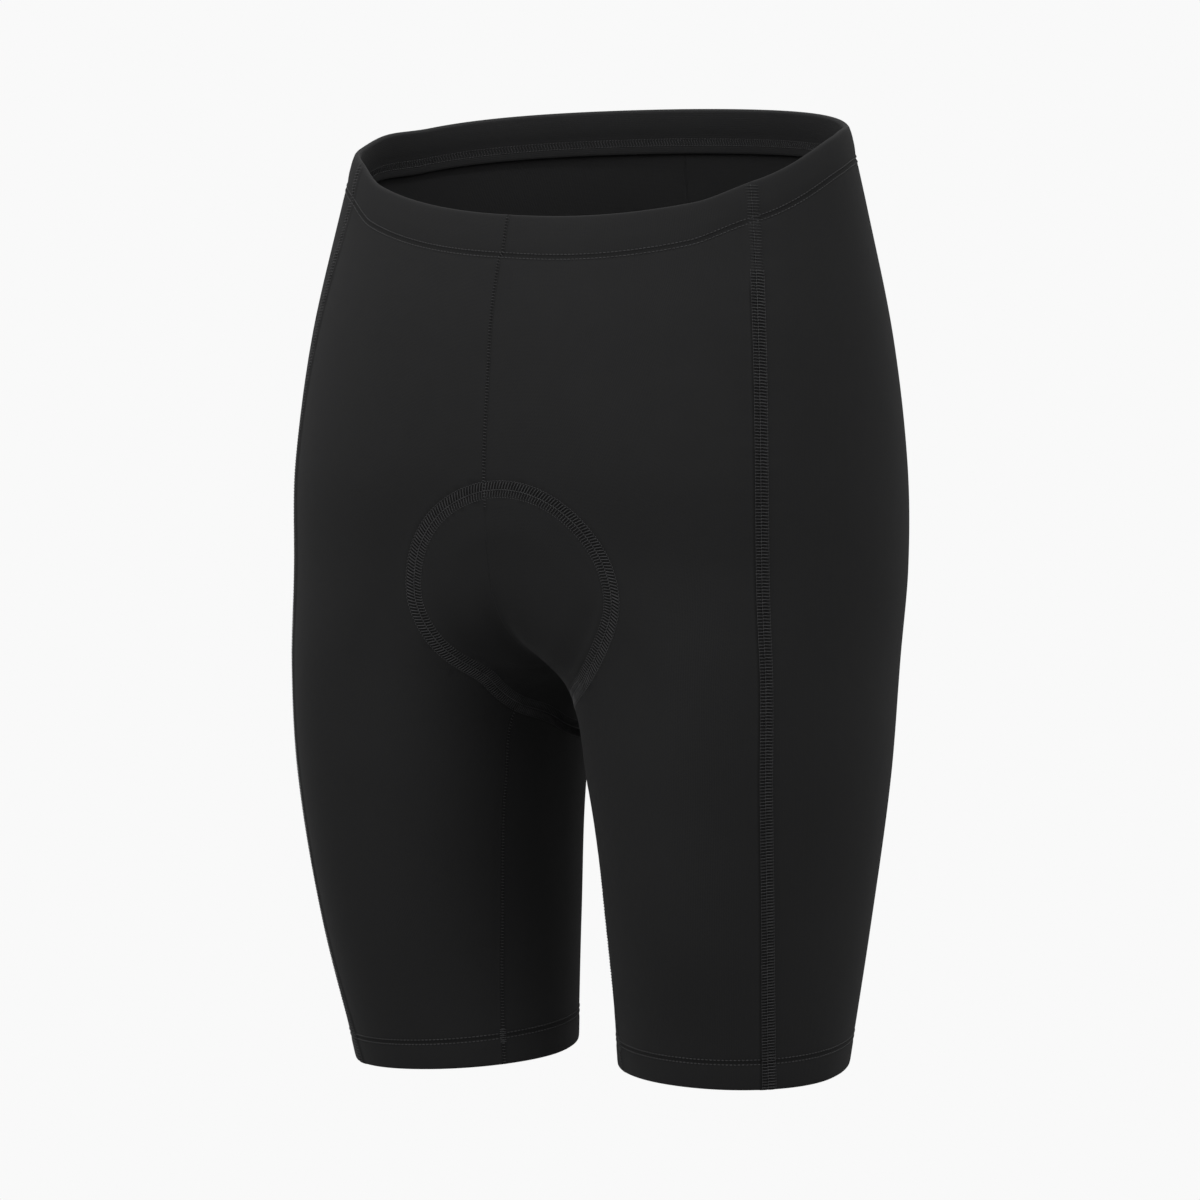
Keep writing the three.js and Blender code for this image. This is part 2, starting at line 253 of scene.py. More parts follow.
def inseam_angle(z):
    drop = np.maximum(CROTCH - z, 0)
    return np.radians(blend(section_at(z)["inseam"], 180, np.exp(-drop / INSEAM_TURN)))


def front_inner(z):
    return np.where(z > CROTCH, centre_angles(z)[0], inseam_angle(z))


def back_inner(z):
    return np.where(z > CROTCH, -centre_angles(z)[1], inseam_angle(z) - 2 * np.pi)


PANELS = {
    "front": {"inner_angle": front_inner, "ease": 3, "columns": 100, "side_width": SIDE_RAISED},
    "back": {"inner_angle": back_inner, "ease": 2, "columns": 124, "side_width": SIDE_FLAT},
}


def rim_height(points):
    x, y = points[..., 0], points[..., 1]
    slant = RIM_SLANT["slope"] * x * ramp(y, 0, RIM_SLANT["full_depth"])
    to_side = ramp(np.abs(x), RIM_LIFT["from_side"], RIM_LIFT["to_side"])
    lift = RIM_LIFT["height"] * to_side * (1 - ramp(y, RIM_LIFT["full_depth"], RIM_LIFT["last_depth"]))
    return RIM_TILT * y - RIM_BEND * y ** 2 + slant + lift


def hem_height(points):
    return HEM_LEVEL + HEM_TILT * points[..., 1] + HEM_LEAN * (np.abs(points[..., 0]) - LEG_MIDDLE)


def above_hem(points):
    return points[..., 2] - hem_height(points)


def settled(panel, height, s, side):
    """The cloth's points on the wearer's left (1) or right (-1), at the height height(s, points)."""
    mirror = np.array([side, 1, 1])
    points = skin(np.full_like(s, CROTCH), np.full_like(s, np.pi / 2)) * mirror
    for _ in range(SETTLE):
        z = height(s, points)
        seam = np.radians(section_at(z)["side"])
        points = skin(z, blend(seam, panel["inner_angle"](z), s)) * mirror
    return points


def panel_heights(panel):
    """The height of each row of a panel, from its rim to its hem, as functions of (s, points)."""
    rows = []
    leg_reach = CROTCH - HEM_LEVEL
    leg_whole = math.hypot(leg_reach, LEG_EASE) - LEG_EASE

    def crotch_row(s):
        return blend(SIDE_ROW, CROTCH, smooth(s))

    for drop in TOP_DROPS:
        rows.append(lambda s, p, drop=drop: rim_height(p) - drop)
    for k in range(1, TRUNK_ROWS + 1):
        v = k / TRUNK_ROWS
        eased = 1 - (1 - v) ** panel["ease"]
        rows.append(lambda s, p, v=v, eased=eased: blend(
            rim_height(p) - TOP_ZONE, crotch_row(s), blend(v, eased, smooth(s))))
    for k in range(1, LEG_ROWS):
        q = k / LEG_ROWS
        eased = (math.hypot(q * leg_reach, LEG_EASE) - LEG_EASE) / leg_whole
        rows.append(lambda s, p, q=q, eased=eased: blend(
            crotch_row(s), hem_height(p) + HEM_RISES[0] + 2, blend(q, eased, smooth(s))))
    for rise in HEM_RISES:
        rows.append(lambda s, p, rise=rise: hem_height(p) + rise)
    return rows


def base_grid(panel, side):
    """A panel's points on the plain form, (rows, columns, 3), with how far each is from its seams."""
    s = np.linspace(0, 1, ROW_SAMPLES)
    grid, from_side, from_inner = [], [], []
    for height in panel_heights(panel):
        line = settled(panel, height, s, side)
        travelled = np.concatenate([[0], np.cumsum(np.linalg.norm(np.diff(line, axis=0), axis=1))])
        whole = travelled[-1]
        reach = SEAM_STEPS[-1]
        between = np.linspace(reach, whole - reach, panel["columns"])[1:-1]
        places = np.concatenate([SEAM_STEPS, between, whole - SEAM_STEPS[::-1]])
        row = np.stack([np.interp(places, travelled, line[:, axis]) for axis in range(3)], -1)
        row[-1] += unit(row[-1] - row[-2]) * SEAM_LAP
        grid.append(row)
        from_side.append(places)
        from_inner.append(whole - places)
    return np.array(grid), np.array(from_side), np.array(from_inner)


def centre_line():
    """The line that the pad lies along: down the front, under the crotch and up the back."""
    steps = np.linspace(0, 1, 161)
    front = blend(CROTCH, PAD["front_height"], (1 - steps) ** 3)
    back = blend(CROTCH, SECTIONS[2][0], steps[1:] ** 2)
    line = np.concatenate([skin(front, centre_angles(front)[0]), skin(back, -centre_angles(back)[1])])
    line[:, 0] = 0
    return line


def cumulative(line):
    return np.concatenate([[0], np.cumsum(np.linalg.norm(np.diff(line, axis=0), axis=1))])


def walk_across(along, distance):
    """The points at these distances to the wearer's left of the centre line, on the cloth."""
    line = centre_line()
    travelled = cumulative(line)
    start = np.stack([np.interp(along, travelled, line[:, axis]) for axis in range(3)], -1)
    ahead = np.stack([np.interp(along + 0.5, travelled, line[:, axis]) for axis in range(3)], -1)
    behind = np.stack([np.interp(along - 0.5, travelled, line[:, axis]) for axis in range(3)], -1)
    direction = unit(ahead - behind)
    points = start
    heading = np.broadcast_to([1.0, 0, 0], points.shape) * np.sign(distance + 1e-9)[..., None]
    steps = 40

    def tangent_at(place):
        tangent = unit(np.cross(direction, gradient(place)))
        return tangent * np.sign(dot(tangent, heading))[..., None]

    for _ in range(steps):
        stride = (np.abs(distance) / steps)[..., None]
        first = tangent_at(points)
        heading = tangent_at(points + first * stride / 2)
        points = points + heading * stride
        slope = gradient(points)
        square = slope - direction * dot(slope, direction)[..., None]
        points = points - square * (level(points) / dot(square, square))[..., None]
    return points


def pad_half_width(along):
    to_neck = ramp(along, PAD["front_round"], PAD["neck_from"])
    to_back = ramp(along, PAD["neck_to"], PAD["back_from"])
    body = blend(blend(PAD["front_half"], PAD["neck_half"], to_neck), PAD["back_half"], to_back)
    front_end = np.clip(1 - along / PAD["front_round"], 0, 1)
    back_end = np.clip(1 - (PAD["length"] - along) / PAD["back_round"], 0, 1)
    return body * np.sqrt((1 - front_end ** 2) * (1 - back_end ** 2))


def pad_sway(along):
    ahead = blend(PAD["front_sway"], PAD["sway"], ramp(along, 0, PAD["front_round"]))
    return ahead * (1 - ramp(along, PAD["sway_from"], PAD["sway_end"]))


def ring_points():
    turn = np.linspace(0, np.pi, 361)
    along = PAD["length"] * (1 - np.cos(turn)) / 2
    half = pad_half_width(along)
    left = walk_across(along, pad_sway(along) + half)
    right = walk_across(along, pad_sway(along) - half)
    return np.concatenate([left, right[-2:0:-1]])


class Seam:
    """A line on the cloth that sewing follows, with its frame at any distance along it."""

    def __init__(self, line, closed=False, depth=0, relief=None):
        self.line = np.concatenate([line, line[:1]]) if closed else line
        self.travelled = cumulative(self.line)
        self.length = self.travelled[-1]
        self.closed = closed
        self.depth = depth  # how far inside the cloth's face the sewing shows, 0 outside
        self.relief = relief

    def places(self, pitch, start=0, end=None):
        """Evenly spaced distances, about this pitch apart."""
        end = self.length if end is None else end
        count = max(int(round((end - start) / pitch)), 1)
        return start + (np.arange(count) + 0.5) * (end - start) / count

    def point(self, distance):
        if self.closed:
            distance = np.mod(distance, self.length)
        return np.stack([np.interp(distance, self.travelled, self.line[:, axis]) for axis in range(3)], -1)

    def laid(self, distance, offset, lift):
        """Points along the seam, with an offset to its left and a lift off the cloth, and up directions."""
        here = self.point(distance)
        tangent = unit(self.point(distance + 0.6) - self.point(distance - 0.6))
        here, outward = seated(here)
        side = unit(np.cross(outward, tangent))
        here, outward = seated(here + side * offset[..., None])
        up = -outward if self.depth else outward
        raised = 0 if self.relief is None else self.relief(here, offset)
        return here - outward * self.depth + up * (lift + raised)[..., None], up


def tubes(paths, ups, radius, sides=5, taper=0.45):
    """Closed tubes along many short paths at once. Paths and ups are (count, points, 3)."""
    count, length, _ = paths.shape
    tangent = unit(np.gradient(paths, axis=1))
    right = unit(np.cross(tangent, ups))
    up = np.cross(right, tangent)
    turn = np.arange(sides) * 2 * np.pi / sides
    thickness = np.full(length, float(radius))
    thickness[[0, -1]] *= taper
    ring = np.cos(turn)[:, None] * right[:, :, None] + np.sin(turn)[:, None] * up[:, :, None]
    points = paths[:, :, None] + ring * thickness[None, :, None, None]
    first = (np.arange(count) * length * sides)[:, None, None]
    row = (np.arange(length - 1) * sides)[None, :, None]
    here = np.arange(sides)[None, None]
    after = (here + 1) % sides
    walls = np.stack([first + row + here, first + row + sides + here,
                      first + row + sides + after, first + row + after], -1).reshape(-1, 4)
    starts = first[:, 0] + np.arange(sides)[::-1]
    ends = first[:, 0] + (length - 1) * sides + np.arange(sides)
    return points.reshape(-1, 3), walls, np.concatenate([starts, ends])


def rungs(seam, left, right, pitch, radius, lift=0.16, start=0, end=None, lean=0.1):
    """Cover threads that cross a strip beside the seam's line, from one edge of it to the other."""
    places = seam.places(pitch, start, end)[:, None]
    u = np.linspace(-1, 1, 6)[None]
    slant = lean * pitch
    height = radius * 0.5 + lift * (1 - u ** 2) - 0.12 * (np.abs(u) > 0.99)
    offset = blend(left, right, (u + 1) / 2)
    paths, ups = seam.laid(places + slant * u, offset + 0 * places, height + 0 * places)
    return tubes(paths, ups, radius)


def dashes(seam, offset, pitch, radius, share=0.82, lift=0.12, start=0, end=None):
    """A row of straight stitches beside the seam's line."""
    places = seam.places(pitch, start, end)[:, None]
    u = np.linspace(-0.5, 0.5, 4)[None]
    height = radius * 0.45 + lift * (1 - (2 * u) ** 2) - 0.1 * (np.abs(u) > 0.49)
    distance = places + u * share * pitch
    paths, ups = seam.laid(distance, np.full_like(distance, offset), height + 0 * places)
    return tubes(paths, ups, radius)


# Relief in the cloth, in millimetres off the plain form


def ring_relief(distance):
    """Inside the pad's outline (under 0) the cloth is puffed up; the stitching draws it in."""
    puff = PUFF * ramp(-distance, 2.5, 22)
    shoulder = 0.35 * hill(distance, -5.2, 1.8) + 0.22 * hill(distance, 5.4, 2.2)
    return puff + shoulder - 0.3 * hill(distance, 0, 3.4)


def band_relief(below):
    """The elastic fills its casing, and the coverstitch holds the cloth down under it."""
    casing = 0.42 * ramp(below, 0.5, 5) * (1 - ramp(below, 9.5, 14.6))
    return casing - 0.34 * hill(below, BAND_STITCHES, 1.7)


def hem_relief(above):
    turned = 0.2 * ramp(above, 0.3, 2.5) * (1 - ramp(above, 9.5, 13))
    return turned - 0.26 * hill(above, HEM_HEIGHT, 1.7)


def crease(points):
    """The depth of the soft valley between the legs, at the front and at the seat."""
    x, y, z = points[..., 0], points[..., 1], points[..., 2]
    front = 2.8 * ramp(-z, 198, 236) * hill(x, 0, 7)
    back = 2.4 * ramp(-z, 120, 215) * hill(x, 0, 11)
    return blend(front, back, ramp(y, -25, 25))


def relief_lean(points, pad_distance, outward):
    """The slope of the pad's puff and of the crease, which leans the cloth's normal."""
    ring_slope = (ring_relief(pad_distance + PROBE) - ring_relief(pad_distance - PROBE)) / (2 * PROBE)
    lean = ring_slope[..., None] * outward
    for axis in range(3):
        step = np.zeros(3)
        step[axis] = PROBE
        lean[..., axis] -= (crease(points + step) - crease(points - step)) / (2 * PROBE)
    return lean


def roll(distance, thickness):
    """How far a rolled edge has drawn in at this distance from it."""
    radius = thickness / 2
    return radius - np.sqrt(np.maximum(radius ** 2 - np.maximum(radius - distance, 0) ** 2, 0))


class Outline:
    """The pad's stitched outline, with a signed distance to it: under 0 inside.

    Between the legs its two sides come close, so a point there is compared with its own side alone.
    """

    def __init__(self):
        self.line = ring_points()
        self.seam = Seam(self.line, closed=True)
        steps = np.arange(0, self.seam.length, OUTLINE_STEP)
        fine = self.seam.point(steps)
        away = unit(np.cross(self.seam.point(steps + OUTLINE_STEP) - fine, seated(fine)[1]))
        middle = walk_across(np.array([PAD["front_round"]]), np.array([0.0]))[0]
        if dot(middle - fine[0], away[0]) > 0:
            away = -away
        self.halves = []
        for side in (1, -1):
            mine = (fine[:, 0] * side > -2) | (fine[:, 2] > OUTLINE_APART)
            tree = KDTree(int(mine.sum()))
            for k, point in enumerate(fine[mine]):
                tree.insert(point, k)
            tree.balance()
            self.halves.append((side, tree, fine[mine], away[mine]))

    def distance(self, points):
        return self.nearest(points)[0]

    def nearest(self, points):
        """The signed distance of each point, and the direction in which it grows."""
        flat = points.reshape(-1, 3)
        signed = np.empty(len(flat))
        direction = np.empty((len(flat), 3))
        for side, tree, fine, away in self.halves:
            mine = flat[:, 0] * side >= 0
            found = [tree.find(point) for point in flat[mine]]
            nearest = np.array([item[1] for item in found], int)
            apart = np.array([item[2] for item in found])
            within = dot(flat[mine] - fine[nearest], away[nearest]) < 0
            within &= np.abs(flat[mine, 0]) < PAD["back_half"] + 6
            signed[mine] = np.where(within, -apart, apart)
            direction[mine] = away[nearest]
        return signed.reshape(points.shape[:-1]), direction.reshape(points.shape)


outline = Outline()

# The centre front seam steps to the wearer's right under the casing, which is sewn on after it
JOG = {"casing": 1.2, "below": 2.6, "from": 14.8, "to": 17.6, "fades_from": 22, "fades_to": 80, "spread": 24}


def jogged(points):
    below = rim_height(points) - points[..., 2]
    ahead = points[..., 1] < 0
    shift = blend(JOG["casing"], JOG["below"], ramp(below, JOG["from"], JOG["to"]))
    shift = shift * (1 - ramp(below, JOG["fades_from"], JOG["fades_to"]))
    moved = points.copy()
    moved[..., 0] -= shift * np.exp(-np.abs(points[..., 0]) / JOG["spread"]) * ahead
    return moved


def ladder_shade_mask(below, pad_distance, from_side, from_inner, side_width):
    """1 under the ladders of the flatlock seams, where the cloth is painted darker as the threads' shade."""
    ring = 1 - ramp(np.abs(pad_distance + RING_MIDDLE), RING_HALF - 0.4, RING_HALF + 0.6)
    beside = 1 - ramp(from_side, side_width - 0.3, side_width + 0.5)
    beside = beside * ramp(below, SIDE_START - 3, SIDE_START + 3)
    narrow = 1 - ramp(from_inner, NARROW_LADDER, NARROW_LADDER + 0.6)
    return np.maximum(np.maximum(ring, beside), 0.7 * narrow * ramp(pad_distance, -9, -7))


def panel_relief(points, from_side, from_inner, side_width):
    below = rim_height(points) - points[..., 2]
    above = above_hem(points)
    pad_distance, outward = outline.nearest(points)
    in_pad = ramp(-pad_distance, 1, 8)
    side_ridge = SIDE_RIDGE * (1 - ramp(from_side, side_width - 0.2, side_width + 0.9))
    inner_ridge = NARROW_RIDGE * (1 - ramp(from_inner, NARROW_LADDER, NARROW_LADDER + 0.9)) * (1 - in_pad)
    dips = 0.3 * hill(from_side, 0, 0.3) + 0.3 * hill(from_inner, 0, 0.3) * (1 - in_pad)
    pull = 0.1 * np.exp(-from_side / 7) * np.sin(points[..., 2] * 0.62)
    pull = pull + 0.1 * np.exp(-from_inner / 6) * np.sin(points[..., 2] * 0.78 + 1) * (1 - in_pad)
    relief = side_ridge + inner_ridge - dips + pull + band_relief(below) + hem_relief(above)
    relief = relief + ring_relief(pad_distance) - crease(points)
    rolled = roll(below, KNIT + CASING_GAP + CASING) + roll(above, TURNED_HEM)
    # Painted shade: the cloth is darkened under the ladders' threads.
    shade = 1 - LADDER_SHADE * ladder_shade_mask(below, pad_distance, from_side, from_inner, side_width)
    # Painted shade along the coverstitches' grooves.
    shade -= STITCH_SHADE * (hill(below, BAND_STITCHES, 1) + hill(above, HEM_HEIGHT, 1))
    # Painted shade inside the pad's outline.
    shade -= PAD_PAINTED_SHADE * ramp(-pad_distance, 3, 14)
    at_crotch = (np.abs(points[..., 2] - CROTCH) < CROTCH_ZONE) & (pad_distance < -4)
    lean = np.where(at_crotch[..., None], relief_lean(points, pad_distance, outward), np.nan)
    return relief, np.minimum(rolled, TURNED_HEM / 2 + 0.6), below, above, shade, lean


def seam_relief(ridge):
    """Relief under the sewing of a seam that stands this far off the cloth."""

    def relief(points, offset):
        below = rim_height(points) - points[..., 2]
        above = above_hem(points)
        rolled = roll(below, KNIT + CASING) + roll(above, TURNED_HEM)
        return ridge + band_relief(below) + hem_relief(above) - rolled

    return relief


# Materials


def nodes_of(name):
    material = bpy.data.materials.new(name)
    material.use_nodes = True
    return material, material.node_tree, material.node_tree.nodes["Principled BSDF"]


def node(tree, kind, **values):
    made = tree.nodes.new(kind)
    for key, value in values.items():
        if hasattr(made, key):
            setattr(made, key, value)
        else:
            made.inputs[key.replace("_", " ")].default_value = value
    return made


def math_node(tree, operation, first, second=None):
    made = tree.nodes.new("ShaderNodeMath")
    made.operation = operation
    for place, value in enumerate((first, second)):
        if value is None:
            continue
        if isinstance(value, (int, float)):
            made.inputs[place].default_value = value
        else:
            tree.links.new(value, made.inputs[place])
    return made.outputs[0]


def set_constants(shader, **values):
    for key, value in values.items():
        shader.inputs[key.replace("_", " ")].default_value = value


def varied_colour(tree, shader, dark, light, scale):
    """A colour that drifts softly between two greys over the piece."""
    place = node(tree, "ShaderNodeTexCoord")
    noise = node(tree, "ShaderNodeTexNoise", Scale=scale, Detail=4)
    tree.links.new(place.outputs["Object"], noise.inputs["Vector"])
    ramp_node = node(tree, "ShaderNodeValToRGB")
    ramp_node.color_ramp.elements[0].color = (*dark, 1)
    ramp_node.color_ramp.elements[0].position = 0.3
    ramp_node.color_ramp.elements[1].color = (*light, 1)
    ramp_node.color_ramp.elements[1].position = 0.7
    tree.links.new(noise.outputs["Fac"], ramp_node.inputs["Fac"])
    tree.links.new(ramp_node.outputs["Color"], shader.inputs["Base Color"])
    return place


def knit_height(tree, wale, course):
    """The knit's raised stitches, as a height: columns of small Vs along the cloth."""
    uv = node(tree, "ShaderNodeUVMap", uv_map="cloth")
    split = node(tree, "ShaderNodeSeparateXYZ")
    tree.links.new(uv.outputs["UV"], split.inputs[0])
    across = math_node(tree, "MULTIPLY", split.outputs["X"], 2 * math.pi / wale)
    along = math_node(tree, "MULTIPLY", split.outputs["Y"], 2 * math.pi / course)
    leg = math_node(tree, "ABSOLUTE", math_node(tree, "SINE", math_node(tree, "MULTIPLY", across, 0.5)))
    slanted = math_node(tree, "ADD", along, math_node(tree, "MULTIPLY", leg, 2.2))
    loops = math_node(tree, "MULTIPLY", math_node(tree, "SINE", slanted), 0.5)
    columns = math_node(tree, "COSINE", across)
    return math_node(tree, "ADD", loops, math_node(tree, "MULTIPLY", columns, 0.5))


def add_bump(tree, shader, height, strength, distance, under=None):
    bump = node(tree, "ShaderNodeBump")
    bump.inputs["Strength"].default_value = strength
    bump.inputs["Distance"].default_value = distance
    tree.links.new(height, bump.inputs["Height"])
    if under is not None:
        tree.links.new(under, bump.inputs["Normal"])
    return bump.outputs["Normal"]


def apply_painted_shade(tree, shader):
    """Scales the colour by the panels' own shade attribute: painted shade under the ladders, along the
    coverstitches and inside the pad's outline, and the inner face's paler tone.
    """
    colour = shader.inputs["Base Color"].links[0].from_socket
    shade = node(tree, "ShaderNodeAttribute", attribute_name="shade")
    scaled = node(tree, "ShaderNodeVectorMath", operation="SCALE")
    tree.links.new(colour, scaled.inputs[0])
    tree.links.new(shade.outputs["Fac"], scaled.inputs["Scale"])
    tree.links.new(scaled.outputs[0], shader.inputs["Base Color"])


def cloth_material(name, dark, light, wale, course, roughness, sheen, bump):
    material, tree, shader = nodes_of(name)
    place = varied_colour(tree, shader, dark, light, 7)
    fibre = node(tree, "ShaderNodeTexNoise", Scale=1400, Detail=2)
    tree.links.new(place.outputs["Object"], fibre.inputs["Vector"])
    soft = node(tree, "ShaderNodeTexNoise", Scale=90, Detail=3)
    tree.links.new(place.outputs["Object"], soft.inputs["Vector"])
    normal = add_bump(tree, shader, soft.outputs["Fac"], 0.12, 0.0006)
    normal = add_bump(tree, shader, fibre.outputs["Fac"], 0.25, 0.0001, normal)
    normal = add_bump(tree, shader, knit_height(tree, wale, course), bump, 0.00006, normal)
    tree.links.new(normal, shader.inputs["Normal"])
    patches = node(tree, "ShaderNodeMapRange")
    patches.inputs["To Min"].default_value = roughness - 0.04
    patches.inputs["To Max"].default_value = roughness + 0.04
    tree.links.new(soft.outputs["Fac"], patches.inputs["Value"])
    tree.links.new(patches.outputs["Result"], shader.inputs["Roughness"])
    set_constants(shader, Specular_IOR_Level=0.22, Sheen_Weight=sheen, Sheen_Roughness=0.45)
    return material


def thread_material(name, dark, light):
    material, tree, shader = nodes_of(name)
    place = varied_colour(tree, shader, dark, light, 220)
    twist = node(tree, "ShaderNodeTexNoise", Scale=2600, Detail=3)
    tree.links.new(place.outputs["Object"], twist.inputs["Vector"])
    normal = add_bump(tree, shader, twist.outputs["Fac"], 0.5, 0.00012)
    tree.links.new(normal, shader.inputs["Normal"])
    set_constants(shader, Roughness=0.62, Specular_IOR_Level=0.3, Sheen_Weight=0.12, Sheen_Roughness=0.5)
    return material


def grey(value):
    return (value, value, value * 1.03)


# Dark and light tone, stitch width and height in mm, roughness, sheen and bump
KNIT_LOOK = cloth_material("black_knit", grey(0.0145), grey(0.0175), 0.8, 0.62, 0.78, 0.05, 0.5)
BAND_LOOK = cloth_material("black_elastic", grey(0.019), grey(0.022), 1.1, 0.9, 0.76, 0.05, 0.8)
apply_painted_shade(KNIT_LOOK.node_tree, KNIT_LOOK.node_tree.nodes["Principled BSDF"])
PAD_LOOK = cloth_material("black_pad", grey(0.010), grey(0.0135), 1.6, 1.4, 0.9, 0.1, 0.9)
THREAD_LOOK = thread_material("black_thread", grey(0.034), grey(0.056))


# Meshes


def mesh_object(name, points, faces, look, uv=None, flat_from=None):
    """A smooth mesh. The faces from flat_from on, at the seams' cut edges, are flat."""
    mesh = bpy.data.meshes.new(name)
    mesh.from_pydata((points * MM).tolist(), [], [tuple(face) for face in faces])
    mesh.shade_smooth()
    if flat_from is not None:
        for polygon in mesh.polygons[flat_from:]:
            polygon.use_smooth = False
    if uv is not None:
        layer = mesh.uv_layers.new(name="cloth")
        corners = np.zeros(len(mesh.loops), np.int32)
        mesh.loops.foreach_get("vertex_index", corners)
        layer.data.foreach_set("uv", uv[corners].astype(np.float32).ravel())
    mesh.materials.append(look)
    made = bpy.data.objects.new(name, mesh)
    bpy.context.scene.collection.objects.link(made)
    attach(made, "root")
    return made


def slab_faces(rows, columns, ring=False):
    """The faces of a closed wall between two grids, the outer one first."""
    spans = columns if ring else columns - 1
    under = rows * columns
    row, column = np.meshgrid(np.arange(rows - 1), np.arange(spans), indexing="ij")
    after = (column + 1) % columns
    outer = np.stack([row * columns + column, (row + 1) * columns + column,
                      (row + 1) * columns + after, row * columns + after], -1).reshape(-1, 4)
    faces = [outer, under + outer[:, ::-1]]
    column = np.arange(spans)
    after = (column + 1) % columns
    top = np.stack([column, after, under + after, under + column], -1)
    low = (rows - 1) * columns
    bottom = np.stack([low + column, under + low + column, under + low + after, low + after], -1)
    faces += [top, bottom]
    if not ring:
        row = np.arange(rows - 1) * columns
        first = np.stack([row, under + row, under + row + columns, row + columns], -1)
        last = np.stack([row, row + columns, under + row + columns, under + row], -1) + spans
        faces += [first, last]
    return np.concatenate(faces)


def facing_out(points, faces):
    """Turns the faces round if the closed mesh is inside out."""
    a, b, c = (points[faces[:, k]] for k in range(3))
    d = points[faces[:, 3]]
    volume = dot(a, np.cross(b, c)).sum() + dot(a, np.cross(c, d)).sum()
    return faces if volume > 0 else faces[:, ::-1]


def make_panel(name, hand, side):
    panel = PANELS[name]
    grid, from_side, from_inner = base_grid(panel, side)
    points, _ = seated(jogged(grid))
    relief, rolled, below, above, shade, lean = panel_relief(
        points, from_side, from_inner, panel["side_width"])
    normal = unit(gradient(points))
    leaned = unit(normal - lean + normal * dot(lean, normal)[..., None])
    leaned = np.nan_to_num(leaned, nan=0)
    outer = points + normal * (relief - rolled)[..., None]
    thick = blend(KNIT, TURNED_HEM, 1 - ramp(above, HEM_HEIGHT - 0.8, HEM_HEIGHT + 0.9))
    inner = points + normal * (relief - thick + roll(above, TURNED_HEM))[..., None]
    at_rim = (rolled > thick - RIM_WALL) & (below < RIM_ZONE)
    inner = np.where(at_rim[..., None], outer - normal * RIM_WALL, inner)
    both = np.concatenate([outer.reshape(-1, 3), inner.reshape(-1, 3)])
    rows, columns = from_side.shape
    faces = facing_out(both, slab_faces(rows, columns))
    steps = np.linalg.norm(np.diff(points, axis=0), axis=2)
    down = np.cumsum(np.concatenate([np.zeros((1, columns)), steps]), 0)
    uv = np.stack([from_side, down], -1).reshape(-1, 2)
    name = f"{name}_panel_{hand}"
    cut_edges = 2 * (rows - 1)
    made = mesh_object(name, both, faces, KNIT_LOOK, np.concatenate([uv, uv]),
                       flat_from=len(faces) - cut_edges)
    # The shade attribute: painted shade on the outer face, the paler tone on the inner face.
    tones = np.concatenate([shade.ravel(), np.full(shade.size, INSIDE_TONE)])
    made.data.attributes.new("shade", "FLOAT", "POINT").data.foreach_set("value", tones.astype(np.float32))
    normals = np.concatenate([leaned.reshape(-1, 3), np.zeros((shade.size, 3))])
    made.data.normals_split_custom_set_from_vertices(normals.tolist())
    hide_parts(name.replace("_panel", ""))
    return made, points


def half_loop(height, side):
    """A line from the centre front or inseam, round the outer side, to the centre back or inseam."""
    s = np.linspace(0, 1, ROW_SAMPLES)
    front, back = (settled(PANELS[name], lambda s, p: height(p), s, side) for name in ("front", "back"))
    return np.concatenate([front[::-1], back[1:]])


def waist_loop(height):
    """A closed line round the waist, at the height that height(points) gives."""
    return np.concatenate([half_loop(height, 1), half_loop(height, -1)[-2:0:-1]])


def leg_loop(height, side):
    return half_loop(height, side)[:-1]


def make_waistband():
    loops = [waist_loop(lambda p, drop=drop: rim_height(p) - drop) for drop in BAND_DROPS]
    shares = np.linspace(0, 1, BAND_COLUMNS + 1)[:-1]
    grid = []
    for line in loops:
        travelled = cumulative(line)
        places = shares * (travelled[-1] + 1)
        grid.append(np.stack([np.interp(places, travelled, line[:, axis]) for axis in range(3)], -1))
    grid, normal = seated(jogged(np.array(grid)))
    below = (rim_height(grid) - grid[..., 2])[..., None]
    start = KNIT + CASING_GAP
    whole = start + CASING
    rim_roll = roll(below, whole)
    outer_in = np.maximum(start - band_relief(below), rim_roll + 0.04)
    foot = roll(BAND_INSIDE - below + 0.05, CASING) * 0.6
    puff = 0.3 * ramp(below, 1.5, 5) * (1 - ramp(below, 9.5, 13)) - 0.25 * hill(below, 16.2, 2)
    inner_in = np.maximum(whole + puff - rim_roll - foot, outer_in + 0.05)
    outer = grid - normal * outer_in
    inner = grid - normal * inner_in
    both = np.concatenate([outer.reshape(-1, 3), inner.reshape(-1, 3)])
    rows, columns = grid.shape[:2]
    faces = facing_out(both, slab_faces(rows, columns, ring=True))
    across = np.broadcast_to(shares * len(loops[0]), (rows, columns))
    uv = np.stack([across, np.broadcast_to(BAND_DROPS[:, None], (rows, columns))], -1).reshape(-1, 2)
    made = mesh_object("waistband_casing", both, faces, BAND_LOOK, np.concatenate([uv, uv]))
    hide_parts("waistband")
    return made


